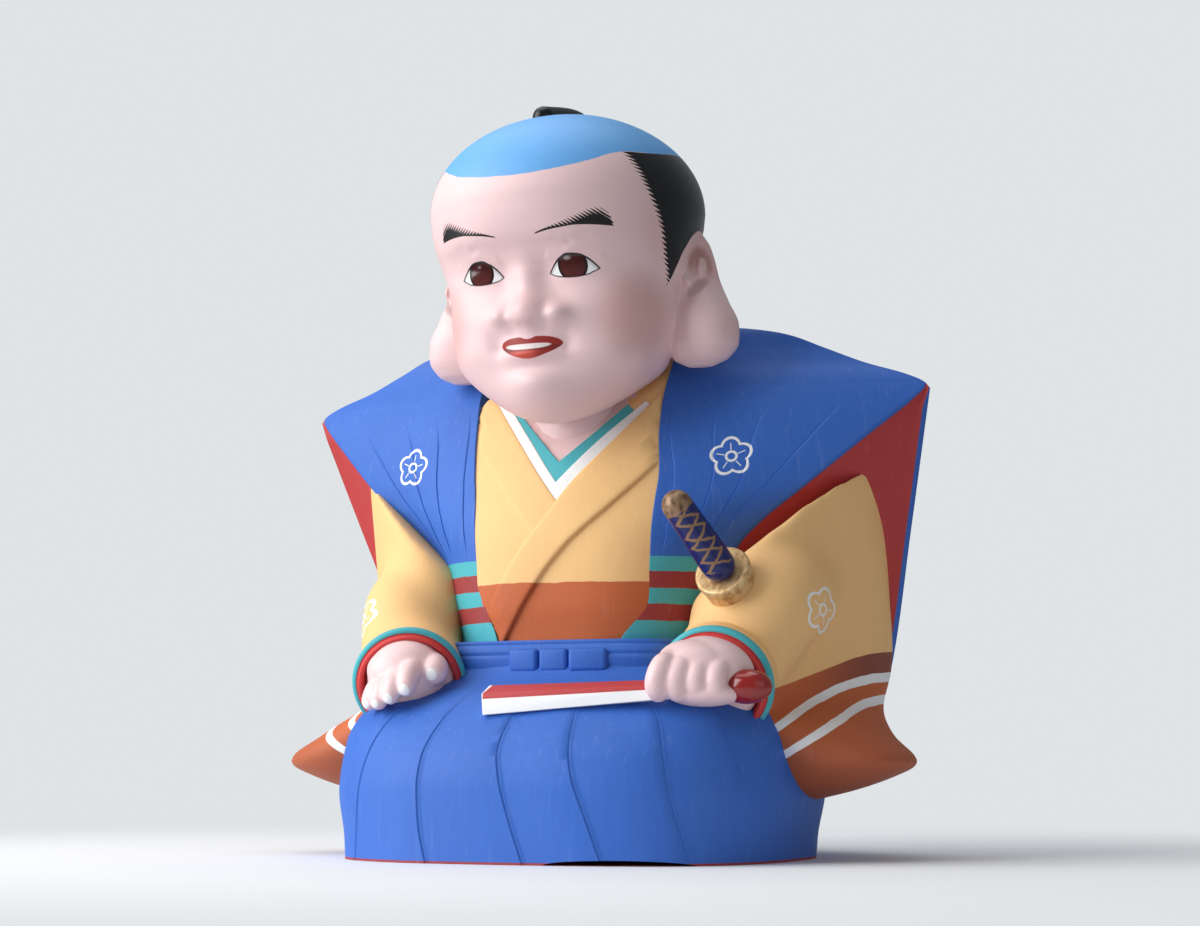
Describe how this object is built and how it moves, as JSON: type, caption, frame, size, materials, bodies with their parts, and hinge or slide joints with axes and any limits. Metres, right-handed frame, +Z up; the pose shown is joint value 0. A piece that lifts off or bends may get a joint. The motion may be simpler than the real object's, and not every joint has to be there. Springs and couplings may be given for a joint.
{
  "type": "hakata doll",
  "caption": "Kneeling man in formal robes, moulded in clay and painted, with long ear lobes, a topknot, a closed fan in the left hand and a short sword at the side; a standing ornament.",
  "frame": {"origin": "centre of the figure's bounding box on the surface that it stands on", "axes": "+Z up, the figure faces -Y and its left side is +X"},
  "size_m": [0.266, 0.176, 0.2926],
  "materials": {
    "painted_clay": "matt",
    "hilt_paint": "satin"
  },
  "bodies": {
    "root": {"figure": "painted_clay", "short_sword": "hilt_paint"}
  },
  "joints": []
}
